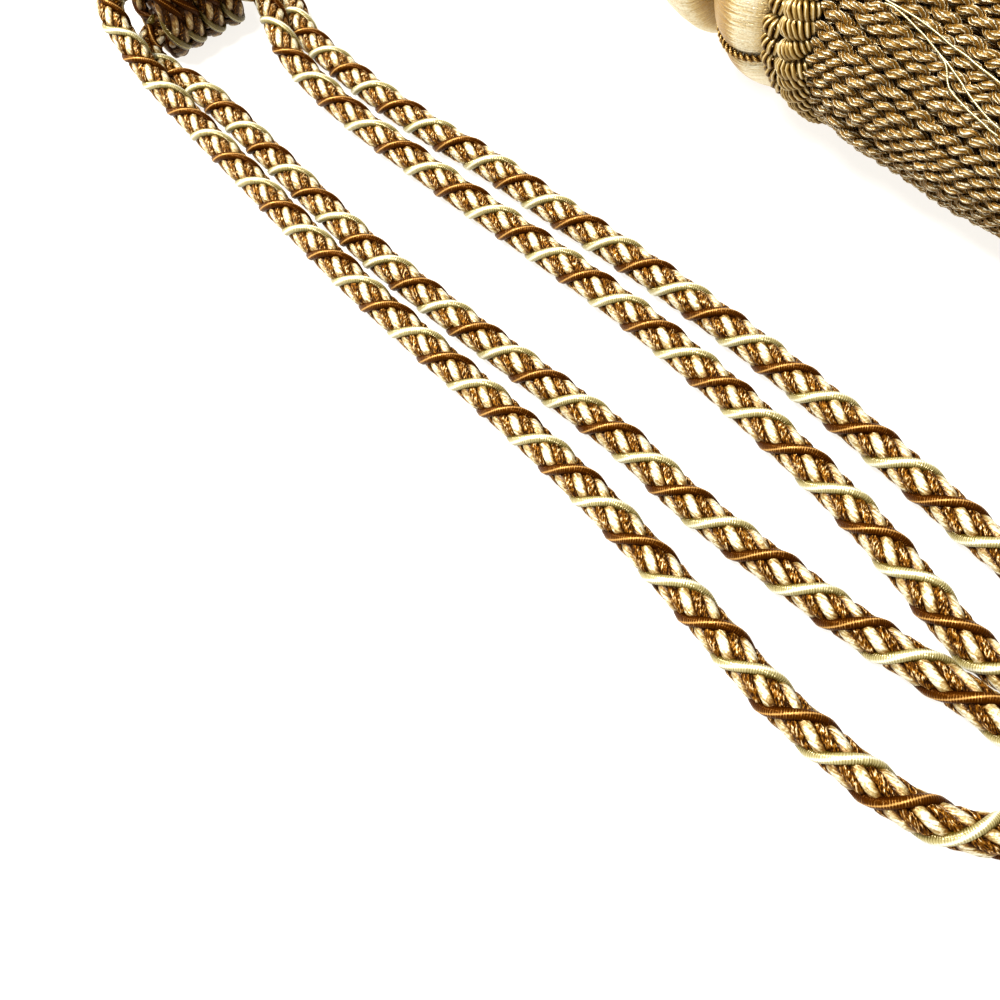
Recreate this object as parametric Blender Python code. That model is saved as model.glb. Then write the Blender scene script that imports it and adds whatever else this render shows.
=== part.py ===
"""Curtain tieback with one bullion tassel, laid out on a flat surface.

Two doubled rope arms and a short hanging rope leave a wound barrel knot. The hanging rope carries
a satin-wound tassel head with a looped ruff and a bullion skirt. Metres, +Z up, z = 0 is the
surface. The origin is the bottom centre of the box round the knot and the tassel.
"""
import math
import random

import bmesh
import bpy
from mathutils import Vector

GAP = 0.0003                 # clearance between touching pieces

# Rope: a core of plies with two thin gimps wound round it.
ROPE_RADIUS = 0.0058         # out to the top of a gimp
ROPE_CORE_RADIUS = 0.0050    # between the gimps
WRAP_PITCH = 0.031           # one turn of a gimp along the rope
WRAP_STEPS = 6               # rings for each turn
ROPE_SIDES = 8
ROPE_REST = ROPE_RADIUS + 0.0001   # centreline height of a rope that lies on the surface

# Barrel knot, wound along Y.
KNOT_X = -0.1663
KNOT_FRONT = -0.1080         # end face towards the front arm
KNOT_TURNS = 4
KNOT_PITCH = 0.0094
KNOT_BACK = KNOT_FRONT + KNOT_TURNS * KNOT_PITCH
KNOT_RADIUS = 0.0245         # out to the crest of a turn
KNOT_AXIS_Z = 0.0232         # a little less, so that the crests rest on small flats
KNOT_SIDES = 24
KNOT_ROWS = 24
KNOT_END_DROP = 0.0015       # how much smaller the two end faces are

# Tassel, on an axis along X that lies TASSEL_Z above the surface.
TASSEL_Y = 0.0622
TASSEL_Z = 0.0460
HEAD_START = -0.0350         # where the hanging rope enters the dome
DOME_RADIUS = 0.0397
DOME_WIDEST = 0.0050
DOME_END = 0.0120
DOME_FLAT = 0.0015           # how far the crown's ellipse runs past the rope's hole
HEAD_SIDES = 28
NECK_RADIUS = 0.0270
BELL_START = 0.0163
BELL_RADIUS = 0.0445
BELL_END = 0.0482
BELL_LOBES = 8
BELL_SIDES = 40
CREASE_PHASE = math.radians(-21)
CREASE_DEPTH = 0.0018
CREASE_HALF = 0.006          # half the width of a crease
GIMP_RADIUS = 0.0011
NECK_GIMP_RADIUS = 0.0018
RUFF_START = 0.0485
RUFF_END = 0.0687
RUFF_RADIUS = 0.0463
RUFF_HOLE = 0.0300
RUFF_BUNDLES = 42
RUFF_BUNDLE_SIDES = 3        # facets round one bundle
RUFF_FURROW = 0.20           # depth of the furrows, as a share of the ruff's thickness
RUFF_LEAN = 1.0             # how far a bundle leans along its length, in bundles
BACKING_FLANGE = 0.0690      # where the flange that carries the strands starts
BACKING_FACE = 0.0712
BACKING_RADIUS = 0.0436
BACKING_SIDES = 48
SKIRT_END = 0.1905

# Hand-chosen route points of the ropes (x, y, z). A route starts and ends at the barrel knot.
R = ROPE_REST
FRONT_ARM_ROUTE = [
    (-0.1710, KNOT_FRONT - GAP, 0.0300), (-0.1700, -0.1165, 0.0300), (-0.1630, -0.1210, 0.0255),
    (-0.1510, -0.1220, 0.0192), (-0.1380, -0.1226, 0.0138), (-0.1240, -0.1218, 0.0092),
    (-0.1080, -0.1214, 0.0060), (-0.0800, -0.1213, R), (-0.0500, -0.1214, R), (-0.0200, -0.1212, R),
    (0.0050, -0.1210, R), (0.0250, -0.1200, R), (0.0500, -0.1186, R), (0.0700, -0.1172, R),
    (0.0950, -0.1159, R), (0.1200, -0.1154, R), (0.1450, -0.1160, R), (0.1760, -0.1181, R),
    (0.1990, -0.1196, R), (0.2200, -0.1181, R), (0.2330, -0.1162, R), (0.2430, -0.1126, R),
    (0.2510, -0.1075, R), (0.2562, -0.1010, R), (0.2578, -0.0945, R), (0.2560, -0.0885, R),
    (0.2505, -0.0840, R), (0.2420, -0.0825, R), (0.2330, -0.0833, R), (0.2200, -0.0855, R),
    (0.1990, -0.0901, R), (0.1760, -0.0932, R), (0.1430, -0.0967, R), (0.1150, -0.0969, R),
    (0.0800, -0.1007, R), (0.0400, -0.1055, R), (0.0000, -0.1089, R), (-0.0300, -0.1093, R),
    (-0.0700, -0.1093, R), (-0.1080, -0.1094, R), (-0.1250, -0.1105, R), (-0.1380, -0.1132, R),
    (-0.1500, -0.1147, 0.0062), (-0.1590, -0.1149, 0.0100), (-0.1620, KNOT_FRONT - GAP, 0.0130),
]
BACK_ARM_ROUTE = [
    (-0.1600, KNOT_BACK + GAP, 0.0200), (-0.1590, -0.0650, 0.0190), (-0.1520, -0.0634, 0.0160),
    (-0.1400, -0.0658, 0.0130), (-0.1250, -0.0709, 0.0115), (-0.1100, -0.0743, 0.0080),
    (-0.0890, -0.0750, 0.0058), (-0.0580, -0.0747, R), (-0.0330, -0.0729, R), (0.0000, -0.0701, R),
    (0.0300, -0.0672, R), (0.0700, -0.0639, R), (0.0980, -0.0628, R), (0.1430, -0.0635, R),
    (0.1760, -0.0660, R), (0.1990, -0.0697, R), (0.2200, -0.0733, R), (0.2330, -0.0721, R),
    (0.2450, -0.0705, R), (0.2560, -0.0669, R), (0.2630, -0.0611, R), (0.2650, -0.0549, R),
    (0.2615, -0.0489, R), (0.2540, -0.0455, R), (0.2430, -0.0447, R), (0.2300, -0.0457, R),
    (0.2110, -0.0473, R), (0.1990, -0.0471, R), (0.1760, -0.0459, R), (0.1430, -0.0451, R),
    (0.0980, -0.0460, R), (0.0690, -0.0479, R), (0.0280, -0.0518, R), (-0.0070, -0.0546, R),
    (-0.0350, -0.0585, R), (-0.0700, -0.0616, R), (-0.0940, -0.0623, R), (-0.1100, -0.0623, R),
    (-0.1250, -0.0608, R), (-0.1320, -0.0584, R), (-0.1450, -0.0558, R), (-0.1570, -0.0583, 0.0062),
    (-0.1655, -0.0640, 0.0080), (-0.1690, KNOT_BACK + GAP, 0.0090),
]
HANGER_ROUTE = [
    (-0.1720, KNOT_BACK + GAP, 0.0320), (-0.1730, -0.0640, 0.0315), (-0.1720, -0.0510, 0.0250),
    (-0.1690, -0.0340, 0.0140), (-0.1620, -0.0140, 0.0070), (-0.1480, 0.0090, R),
    (-0.1250, 0.0340, 0.0062), (-0.0950, 0.0530, 0.0140), (-0.0680, 0.0610, 0.0310),
    (-0.0500, TASSEL_Y, 0.0420), (HEAD_START - GAP, TASSEL_Y, TASSEL_Z),
]

# Skirt layers, outermost first. "half" is half a strand's width, "floor" the height that the layer
# below it fills, "short" how far its ends stay back, "phase" its turn in strands.
SKIRT_LAYERS = [
    {"radius": 0.0410, "strands": 46, "half": 0.0022, "floor": 0.0000, "short": 0.0000, "phase": 0.5},
    {"radius": 0.0354, "strands": 38, "half": 0.0022, "floor": 0.0054, "short": 0.0040, "phase": 0.0},
    {"radius": 0.0298, "strands": 30, "half": 0.0022, "floor": 0.0108, "short": 0.0060, "phase": 0.3},
    {"radius": 0.0218, "strands": 13, "half": 0.0036, "floor": 0.0168, "short": 0.0080, "phase": 0.1},
    {"radius": 0.0105, "strands": 5, "half": 0.0030, "floor": 0.0275, "short": 0.0090, "phase": 0.4},
]
# The bundle of strands along its length: share of the length, and its girth against the root's.
SKIRT_SHAPE = [
    {"share": 0.00, "girth": 1.000}, {"share": 0.12, "girth": 1.020}, {"share": 0.36, "girth": 0.970},
    {"share": 0.64, "girth": 0.940}, {"share": 1.00, "girth": 0.925},
]
SKIRT_SAG = 0.0045           # how far the bundle settles below the head's axis
SKIRT_SETTLE = 0.0020        # how much further its underside settles
SKIRT_UNEVEN = 0.0060        # how much shorter the shortest strand of a layer is

COLOURS = {
    "rope": (0.52, 0.33, 0.12),
    "satin": (0.82, 0.74, 0.54),
    "gimp": (0.42, 0.27, 0.10),
    "bullion": (0.50, 0.39, 0.19),
}


def clear_scene():
    for old in list(bpy.data.objects):
        bpy.data.objects.remove(old, do_unlink=True)


def material(name, colour, roughness=0.55):
    mat = bpy.data.materials.new(name)
    mat.use_nodes = True
    shader = mat.node_tree.nodes["Principled BSDF"]
    shader.inputs["Base Color"].default_value = (*colour, 1.0)
    shader.inputs["Roughness"].default_value = roughness
    shader.inputs["Metallic"].default_value = 0.0
    return mat


def add_object(name, bm, colour, smooth_angle=math.radians(50)):
    bmesh.ops.recalc_face_normals(bm, faces=bm.faces)
    mesh = bpy.data.meshes.new(name)
    bm.to_mesh(mesh)
    bm.free()
    mesh.shade_smooth()
    mesh.set_sharp_from_angle(angle=smooth_angle)
    obj = bpy.data.objects.new(name, mesh)
    obj.data.materials.append(material(name + "_look", COLOURS[colour]))
    bpy.context.scene.collection.objects.link(obj)
    return obj


def loft(bm, rings, cap_start=True, cap_end=True):
    """Join closed rings of points with quads and close both ends."""
    loops = [[bm.verts.new(point) for point in ring] for ring in rings]
    count = len(loops[0])
    for low, high in zip(loops, loops[1:]):
        for i in range(count):
            j = (i + 1) % count
            bm.faces.new((low[i], low[j], high[j], high[i]))
    if cap_start:
        bm.faces.new(loops[0][::-1])
    if cap_end:
        bm.faces.new(loops[-1])
    return loops


def smooth_route(points, step):
    """Read a centripetal curve through the points at an even spacing close to step."""
    pts = [Vector(p) for p in points]
    pts = [2 * pts[0] - pts[1]] + pts + [2 * pts[-1] - pts[-2]]
    dense = []
    for p0, p1, p2, p3 in zip(pts, pts[1:], pts[2:], pts[3:]):
        t0 = 0.0
        t1 = t0 + (p1 - p0).length ** 0.5
        t2 = t1 + (p2 - p1).length ** 0.5
        t3 = t2 + (p3 - p2).length ** 0.5
        for k in range(16):
            t = t1 + (t2 - t1) * k / 16
            a1 = p0.lerp(p1, (t - t0) / (t1 - t0))
            a2 = p1.lerp(p2, (t - t1) / (t2 - t1))
            a3 = p2.lerp(p3, (t - t2) / (t3 - t2))
            b1 = a1.lerp(a2, (t - t0) / (t2 - t0))
            b2 = a2.lerp(a3, (t - t1) / (t3 - t1))
            dense.append(b1.lerp(b2, (t - t1) / (t2 - t1)))
    dense.append(pts[-2])
    lengths = [0.0]
    for a, b in zip(dense, dense[1:]):
        lengths.append(lengths[-1] + (b - a).length)
    count = max(2, round(lengths[-1] / step))
    even = []
    k = 0
    for i in range(count + 1):
        s = lengths[-1] * i / count
        while k < len(lengths) - 2 and lengths[k + 1] < s:
            k += 1
        part = (s - lengths[k]) / max(lengths[k + 1] - lengths[k], 1e-9)
        even.append(dense[k].lerp(dense[k + 1], min(part, 1.0)))
    return even


def carried_frames(points):
    """Tangent and two side directions at each point, carried along without spin."""
    count = len(points)
    tangents = [(points[min(i + 1, count - 1)] - points[max(i - 1, 0)]).normalized()
                for i in range(count)]
    side = tangents[0].orthogonal().normalized()
    frames = []
    for tangent in tangents:
        side = (side - tangent * side.dot(tangent)).normalized()
        frames.append((tangent, side, tangent.cross(side)))
    return frames


def rope_section(turn):
    """Side offsets of the rope's outline, its two gimp ridges turned by an angle."""
    outline = []
    for i in range(ROPE_SIDES):
        ridge = i % (ROPE_SIDES // 2) == 0
        radius = ROPE_RADIUS if ridge else ROPE_CORE_RADIUS
        angle = 2 * math.pi * i / ROPE_SIDES + turn
        outline.append((radius * math.cos(angle), radius * math.sin(angle)))
    return outline


def make_rope(name, route):
    """Closed rope solid: an outline with two ridges that turn left-handed along the route."""
    points = smooth_route(route, WRAP_PITCH / WRAP_STEPS)
    step = (points[1] - points[0]).length
    rings = []
    for i, (point, frame) in enumerate(zip(points, carried_frames(points))):
        tangent, side, across = frame
        if i == 0 or i == len(points) - 1:
            tangent, side, across = end_frame(points, side, i == 0)
        outline = rope_section(-2 * math.pi * i * step / WRAP_PITCH)
        ring = [point + side * a + across * b for a, b in outline]
        rings.append([Vector((p.x, p.y, max(p.z, 0.0))) for p in ring])
    bm = bmesh.new()
    loft(bm, rings)
    return add_object(name, bm, "rope")


def end_frame(points, side, at_start):
    """Frame of an end that meets a face along the nearest axis, so the faces stay parallel."""
    rough = points[1] - points[0] if at_start else points[-1] - points[-2]
    axis = max(range(3), key=lambda k: abs(rough[k]))
    tangent = Vector((0.0, 0.0, 0.0))
    tangent[axis] = math.copysign(1.0, rough[axis])
    side = (side - tangent * side.dot(tangent)).normalized()
    return tangent, side, tangent.cross(side)


def make_knot():
    """Barrel of rope turns wound round the gathered ropes, with crests that rest flat."""
    rows = []
    for row in range(KNOT_ROWS + 1):
        y = KNOT_FRONT + (KNOT_BACK - KNOT_FRONT) * row / KNOT_ROWS
        ring = []
        for i in range(KNOT_SIDES):
            angle = 2 * math.pi * (i + 0.5) / KNOT_SIDES
            turn = (y - KNOT_FRONT) / KNOT_PITCH + angle / (2 * math.pi) + 0.25
            offset = (turn - math.floor(turn) - 0.5) * KNOT_PITCH
            crest = math.sqrt(ROPE_RADIUS ** 2 - offset ** 2)
            radius = KNOT_RADIUS - ROPE_RADIUS + crest
            if row in (0, KNOT_ROWS):
                radius -= KNOT_END_DROP
            x = KNOT_X + radius * math.cos(angle)
            z = KNOT_AXIS_Z + radius * math.sin(angle)
            ring.append((x, y, max(z, 0.0)))
        rows.append(ring)
    bm = bmesh.new()
    loft(bm, rows)
    return add_object("barrel_knot", bm, "rope")


def turned_ring(x, radius_at, sides, phase=0.0):
    """One ring of a turned piece round the tassel's axis; angle 0 faces the arms."""
    ring = []
    for i in range(sides):
        angle = 2 * math.pi * i / sides + phase
        radius = radius_at(angle)
        y = TASSEL_Y - radius * math.cos(angle)
        z = TASSEL_Z + radius * math.sin(angle)
        ring.append((x, y, max(z, 0.0)))
    return ring


def dome_radius(x):
    """Crown of the dome, a half ellipse that turns under at its widest end."""
    if x < DOME_WIDEST:
        reach = DOME_WIDEST - HEAD_START + DOME_FLAT
        return DOME_RADIUS * math.sqrt(1 - ((DOME_WIDEST - x) / reach) ** 2)
    reach = (DOME_END - DOME_WIDEST) / 0.6
    return DOME_RADIUS * math.sqrt(1 - ((x - DOME_WIDEST) / reach) ** 2)


def make_dome():
    """Upper satin-wound member, with the short neck that carries the neck gimp."""
    rings = []
    for turn in (1.0, 0.93, 0.80, 0.62, 0.42, 0.20, 0.0):
        x = DOME_WIDEST + (HEAD_START - DOME_WIDEST) * turn
        rings.append(turned_ring(x, lambda angle, x=x: dome_radius(x), HEAD_SIDES))
    for share in (0.55, 1.0):
        x = DOME_WIDEST + (DOME_END - DOME_WIDEST) * share
        rings.append(turned_ring(x, lambda angle, x=x: dome_radius(x), HEAD_SIDES))
    for x in (DOME_END, BELL_START - GAP):
        rings.append(turned_ring(x, lambda angle: NECK_RADIUS, HEAD_SIDES))
    bm = bmesh.new()
    loft(bm, rings)
    return add_object("head_dome", bm, "satin")


def make_neck_gimp():
    """Thin gimp ring on the neck between dome and bell."""
    middle = (DOME_END + BELL_START) / 2
    centre = NECK_RADIUS + GAP + NECK_GIMP_RADIUS
    bm = bmesh.new()
    loops = []
    for i in range(HEAD_SIDES):
        angle = 2 * math.pi * i / HEAD_SIDES
        loop = []
        for k in range(6):
            roll = 2 * math.pi * k / 6
            radius = centre + NECK_GIMP_RADIUS * math.cos(roll)
            point = (middle + NECK_GIMP_RADIUS * math.sin(roll),
                     TASSEL_Y - radius * math.cos(angle), TASSEL_Z + radius * math.sin(angle))
            loop.append(bm.verts.new(point))
        loops.append(loop)
    for i, loop in enumerate(loops):
        following = loops[(i + 1) % HEAD_SIDES]
        for k in range(6):
            m = (k + 1) % 6
            bm.faces.new((loop[k], loop[m], following[m], following[k]))
    return add_object("neck_gimp", bm, "gimp")


def bell_profile(x):
    """Radius of the bell on the crown of a lobe."""
    share = (x - BELL_START) / (BELL_END - BELL_START)
    swell = math.sin(math.pi * (0.15 + 0.57 * share)) ** 0.5
    return BELL_RADIUS * swell


def crease_at(angle):
    """1 in the middle of a crease between two lobes, 0 from CREASE_HALF outward."""
    lobe = 2 * math.pi / BELL_LOBES
    turn = (angle - CREASE_PHASE) / lobe
    distance = abs(turn - round(turn)) * lobe * BELL_RADIUS
    return max(0.0, 1.0 - distance / CREASE_HALF)


def make_bell():
    """Lower satin-wound member, eight lobes parted by creases."""
    rings = []
    for share in (0.0, 0.12, 0.30, 0.50, 0.72, 0.90, 1.0):
        x = BELL_START + (BELL_END - BELL_START) * share
        rings.append(turned_ring(
            x, lambda angle, x=x: bell_profile(x) - CREASE_DEPTH * crease_at(angle), BELL_SIDES,
            CREASE_PHASE))
    bm = bmesh.new()
    loft(bm, rings)
    return add_object("head_bell", bm, "satin")


def make_bell_gimp(index):
    """Thin gimp laid along one crease of the bell."""
    angle = CREASE_PHASE + 2 * math.pi * index / BELL_LOBES
    outward = Vector((0.0, -math.cos(angle), math.sin(angle)))
    around = Vector((0.0, math.sin(angle), math.cos(angle)))
    rings = []
    steps = 7
    for i in range(steps + 1):
        share = 0.06 + 0.88 * i / steps
        x = BELL_START + (BELL_END - BELL_START) * share
        radius = bell_profile(x) - CREASE_DEPTH + 2.2 * GAP + GIMP_RADIUS
        middle = Vector((x, TASSEL_Y, TASSEL_Z)) + outward * radius
        ring = []
        for k in range(6):
            roll = 2 * math.pi * (k + 0.5) / 6
            ring.append(middle + outward * GIMP_RADIUS * math.sin(roll)
                        + around * GIMP_RADIUS * math.cos(roll))
        rings.append(ring)
    bm = bmesh.new()
    loft(bm, rings)
    return add_object(f"bell_gimp_{index + 1}", bm, "gimp")


def make_ruff():
    """Ring of looped bullion bundles round the root of the skirt."""
    sides = RUFF_BUNDLES * RUFF_BUNDLE_SIDES
    steps = 5
    rings = []
    for i in range(steps + 1):
        share = i / steps
        x = RUFF_START + (RUFF_END - RUFF_START) * share
        swell = math.sin(math.pi * (0.10 + 0.80 * share)) ** 0.5

        lean = RUFF_LEAN * (share - 0.5) * 2 * math.pi / RUFF_BUNDLES

        def radius_at(angle, swell=swell, lean=lean):
            furrow = abs(math.sin((angle - lean) * RUFF_BUNDLES / 2)) ** 0.7
            thickness = (RUFF_RADIUS - RUFF_HOLE) * (1 - RUFF_FURROW + RUFF_FURROW * furrow)
            return RUFF_HOLE + thickness * swell

        rings.append(turned_ring(x, radius_at, sides, lean))
    inner = [turned_ring(x, lambda angle: RUFF_HOLE, sides) for x in (RUFF_END, RUFF_START)]
    bm = bmesh.new()
    loops = loft(bm, rings + inner, cap_start=False, cap_end=False)
    for i in range(sides):
        j = (i + 1) % sides
        bm.faces.new((loops[-1][i], loops[-1][j], loops[0][j], loops[0][i]))
    return add_object("ruff", bm, "bullion")


def strand_centres(layer, angle, length):
    """Centre points of one strand, from its root on the backing to its free end."""
    half = layer["half"]
    lowest = layer["floor"] + half * (abs(math.cos(angle)) + abs(math.sin(angle)))
    centres = []
    for station in SKIRT_SHAPE:
        share = station["share"]
        radius = layer["radius"] * station["girth"]
        drop = SKIRT_SAG * min(1.0, 2.5 * share)
        drop += SKIRT_SETTLE * min(1.0, 3.0 * share) * max(0.0, -math.sin(angle))
        y = TASSEL_Y - radius * math.cos(angle)
        z = TASSEL_Z - drop + radius * math.sin(angle)
        centres.append(Vector((BACKING_FACE + length * share, y, max(z, lowest))))
    return centres


def strand_rings(layer, angle, length):
    """Square rings along one strand, a flat side turned outward from the tassel's axis."""
    out = Vector((0.0, -math.cos(angle), math.sin(angle)))
    around = Vector((0.0, math.sin(angle), math.cos(angle)))
    half = layer["half"]
    corners = [out * a * half + around * b * half for a, b in ((1, 1), (1, -1), (-1, -1), (-1, 1))]
    return [[centre + corner for corner in corners]
            for centre in strand_centres(layer, angle, length)]


def make_skirt():
    """Bullion skirt: every strand's root opens into the flange of one backing."""
    rng = random.Random(7)
    bm = bmesh.new()
    sides = BACKING_SIDES
    plug = [turned_ring(x, lambda angle: RUFF_HOLE - GAP, sides)
            for x in (RUFF_START + GAP, BACKING_FLANGE)]
    flange = [turned_ring(x, lambda angle: BACKING_RADIUS, sides)
              for x in (BACKING_FLANGE, BACKING_FACE)]
    loops = loft(bm, plug + flange, cap_end=False)
    rim = loops[-1]
    face_edges = [bm.edges.get((rim[i], rim[(i + 1) % sides])) for i in range(sides)]
    full = SKIRT_END - BACKING_FACE
    for layer in SKIRT_LAYERS:
        for i in range(layer["strands"]):
            angle = 2 * math.pi * (i + layer["phase"]) / layer["strands"]
            uneven = SKIRT_UNEVEN * rng.random() if i else 0.0
            rings = strand_rings(layer, angle, full - layer["short"] - uneven)
            strand = loft(bm, rings, cap_start=False)
            root = strand[0]
            face_edges += [bm.edges.get((root[k], root[(k + 1) % 4])) for k in range(4)]
    bmesh.ops.triangle_fill(bm, use_beauty=True, edges=face_edges, normal=(1, 0, 0))
    return add_object("skirt", bm, "bullion", math.radians(30))


def main():
    clear_scene()
    make_rope("front_arm", FRONT_ARM_ROUTE)
    make_rope("back_arm", BACK_ARM_ROUTE)
    make_rope("hanging_rope", HANGER_ROUTE)
    make_knot()
    make_dome()
    make_neck_gimp()
    make_bell()
    for index in range(BELL_LOBES):
        make_bell_gimp(index)
    make_ruff()
    make_skirt()


main()
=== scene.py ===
"""Looks, light and camera for a curtain tieback with one bullion tassel.

Metres, +Z up, in the frame of the solids. The rope routes repeat those of the solids.
"""
import math
import random

import bpy
from mathutils import Matrix, Vector


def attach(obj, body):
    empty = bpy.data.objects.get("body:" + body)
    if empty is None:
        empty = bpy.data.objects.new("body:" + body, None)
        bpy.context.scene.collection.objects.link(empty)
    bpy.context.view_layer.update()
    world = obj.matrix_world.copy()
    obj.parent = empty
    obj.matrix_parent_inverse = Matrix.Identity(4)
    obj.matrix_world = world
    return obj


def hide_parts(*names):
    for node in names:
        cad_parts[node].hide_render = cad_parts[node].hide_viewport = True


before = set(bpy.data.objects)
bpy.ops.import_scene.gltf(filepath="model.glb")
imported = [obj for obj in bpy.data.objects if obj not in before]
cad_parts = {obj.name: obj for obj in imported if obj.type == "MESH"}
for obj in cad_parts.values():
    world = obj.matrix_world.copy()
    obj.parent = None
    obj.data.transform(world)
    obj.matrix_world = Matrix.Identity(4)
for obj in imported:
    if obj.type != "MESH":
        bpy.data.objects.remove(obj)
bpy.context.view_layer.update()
TAU = 2 * math.pi

# Rope: eight core strands, cream and gold by turns, under one cream and one bronze gimp. A lap is
# the stretch between two gimps. The core's pattern repeats in each lap.
ROPE_REST = 0.0059
SPINE_STEP = 0.0010
CORE_STRANDS = 8
CORE_SIDES = 8
CORE_REACH = 0.00355         # from the rope's middle to a strand's
CREAM_SECTION = (0.00165, 0.00178)     # a strand's radius outward and across
GOLD_SECTION = (0.00150, 0.00158)
CREAM_ROUGHNESS = 0.02       # spread of a strand's surface, as a share of its radius
GOLD_ROUGHNESS = 0.14
PINCH = 0.00130              # how far a gimp presses a strand in
PINCH_SLIMMING = 0.12        # and the share by which the strand is thinner there
PINCH_POWER = 8              # a higher power keeps that to a shorter stretch
# how fast the painted shadow beside a gimp fades along a strand
SHADE_POWER = 3
GIMP_RADIUS = 0.00165
GIMP_REACH = 0.00412
GIMP_SIDES = 8
# The rope's dark middle: a tube whose dark colour is painted shade between the strands.
DEEP_RADIUS = 0.0030         # the dark middle of the rope
DEEP_SIDES = 6
DEEP_EVERY = 4
LAP = 0.0148
CORE_START = math.radians(-20)     # turn of the first strand where the cream gimp lies on top
CORE_DRIFT = math.radians(0.7)     # extra turn of the core in each lap

# Barrel knot, wound along Y.
GAP = 0.0003
KNOT_X = -0.1663
KNOT_FRONT = -0.1080
KNOT_PITCH = 0.0094
KNOT_TURNS = 4
KNOT_BACK = KNOT_FRONT + KNOT_TURNS * KNOT_PITCH
KNOT_AXIS_Z = 0.0232
KNOT_REACH = 0.0187          # from the knot's axis to the middle of a turn
KNOT_START = math.radians(60)
KNOT_STEP = 0.0012
KNOT_TUCK = 0.009            # how far the first and last turn draw in at their ends
KNOT_TUCK_TURNS = 0.16       # and over how much of a turn
KNOT_SQUEEZE = 0.82          # width of a turn along the knot's axis, as a share of the rope's
# Gathered ropes inside the knot, each from its front end to its back end.
GATHERED_ENDS = (
    ((-0.1710, KNOT_FRONT, 0.0300), (-0.1720, KNOT_BACK, 0.0320)),
    ((-0.1620, KNOT_FRONT, 0.0130), (-0.1600, KNOT_BACK, 0.0200)),
    ((-0.1640, KNOT_FRONT + 0.004, 0.0215), (-0.1690, KNOT_BACK, 0.0090)),
)
GATHERED_STEPS = 30

# Tassel, on an axis along X.
TASSEL_Y = 0.0622
TASSEL_Z = 0.0460
HEAD_START = -0.0350
DOME_RADIUS = 0.0397
DOME_WIDEST = 0.0050
DOME_END = 0.0120
NECK_RADIUS = 0.0270
BELL_START = 0.0163
BELL_RADIUS = 0.0445
BELL_END = 0.0482
BELL_LOBES = 8
CREASE_PHASE = math.radians(-21)
HEAD_STEPS = 144
# Passes that press the bell in along its creases, each narrower: half width and depth.
CREASE_PASSES = ((0.0075, 0.00025), (0.0050, 0.00040), (0.0032, 0.00055), (0.0018, 0.00060))
CREASE_GIMP_RADIUS = 0.00068
CREASE_GIMP_PITCH = 0.0046
CREASE_GIMP_SINK = 0.0009     # how far below the bell, before its creases, its middle lies
CREASE_GIMP_POINTS = 49
CREASE_GIMP_START = BELL_START + 0.0010
CREASE_GIMP_SPAN = BELL_END - BELL_START - 0.0018
NECK_GIMP_REACH = 0.0290
NECK_GIMP_RADIUS = 0.00095
NECK_GIMP_PLY_REACH = 0.0010
NECK_GIMP_PLIES = 3
NECK_GIMP_TWISTS = 22
NECK_GIMP_STEPS = 300
RUFF_PUFFS = 42
PUFF_PARTS = 12               # points in one winding of a puff's thread
# Columns of puffs: middle along X, half width, base, reach past it, radius, thread, lean, phase.
PUFF_COLUMNS = (
    (0.0613, 0.0050, 0.0385, 0.0038, 0.0034, 0.00066, 0.42, 0.0),
    (0.0518, 0.0024, 0.0395, 0.0018, 0.0026, 0.00062, -0.30, 0.5),
)
SKIRT_ROOT = 0.0680
SKIRT_END = 0.1905
SKIRT_CORDS = 50
SKIRT_CORD_REACH = 0.0411     # from the axis to the middle of an outer cord
SKIRT_PLY = 0.00124
SKIRT_PLY_PITCH = 0.0104
SKIRT_TWIST = 0.45            # turn of the skirt round its axis, from root to end
# Share of the skirt's length, and its girth there against the root's.
SKIRT_SHAPE = ((0.0, 1.000), (0.12, 1.020), (0.36, 0.970), (0.64, 0.940), (1.0, 0.925))
SKIRT_SAG = 0.0045            # how far the skirt sinks
SKIRT_SETTLE = 0.0020         # and how much further its underside does
CORD_SLIP = 0.32              # size of each wave in a cord's twist, in radians
SECOND_RING_INSET = 0.0034
# What a cord lacks of the skirt's length: a fixed part and the most that chance adds.
OUTER_SHORTFALL = (0.0010, 0.0055)
SECOND_SHORTFALL = (0.0030, 0.0060)
FILLING_SHORTFALL = (0.0030, 0.0070)
OUTER_FLOOR = 0.0024          # lowest height of the middle of an outer cord
OUTER_STEPS = 116
OUTER_WANDER = 0.0014
SECOND_FLOOR = 0.0060
SECOND_STEPS = 80
SECOND_WANDER = 0.0008
# Plain cords that fill the skirt: radius of the ring, their number, lowest height of a middle.
FILLING_RINGS = (
    (0.0322, 48, 0.0100), (0.0276, 40, 0.0140), (0.0230, 33, 0.0180), (0.0184, 26, 0.0220),
    (0.0138, 19, 0.0260), (0.0092, 12, 0.0300), (0.0046, 6, 0.0330), (0.0, 1, 0.0360),
)
FILLING_RADIUS = 0.0022
FILLING_STEPS = 9
FILLING_WANDER = 0.0006
STRAY_RADIUS = 0.00032
# A surface over the skirt: its reach at the root, which follows the girth, and a lift added to it.
STRAY_READ = (0.0421, 0.0019)    # where the loose threads' places are read
STRAY_LAID = (0.0420, 0.0021)    # and where the threads are laid
SIGHT_STEPS = 200
STRAY_STEP = 0.0008

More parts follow.
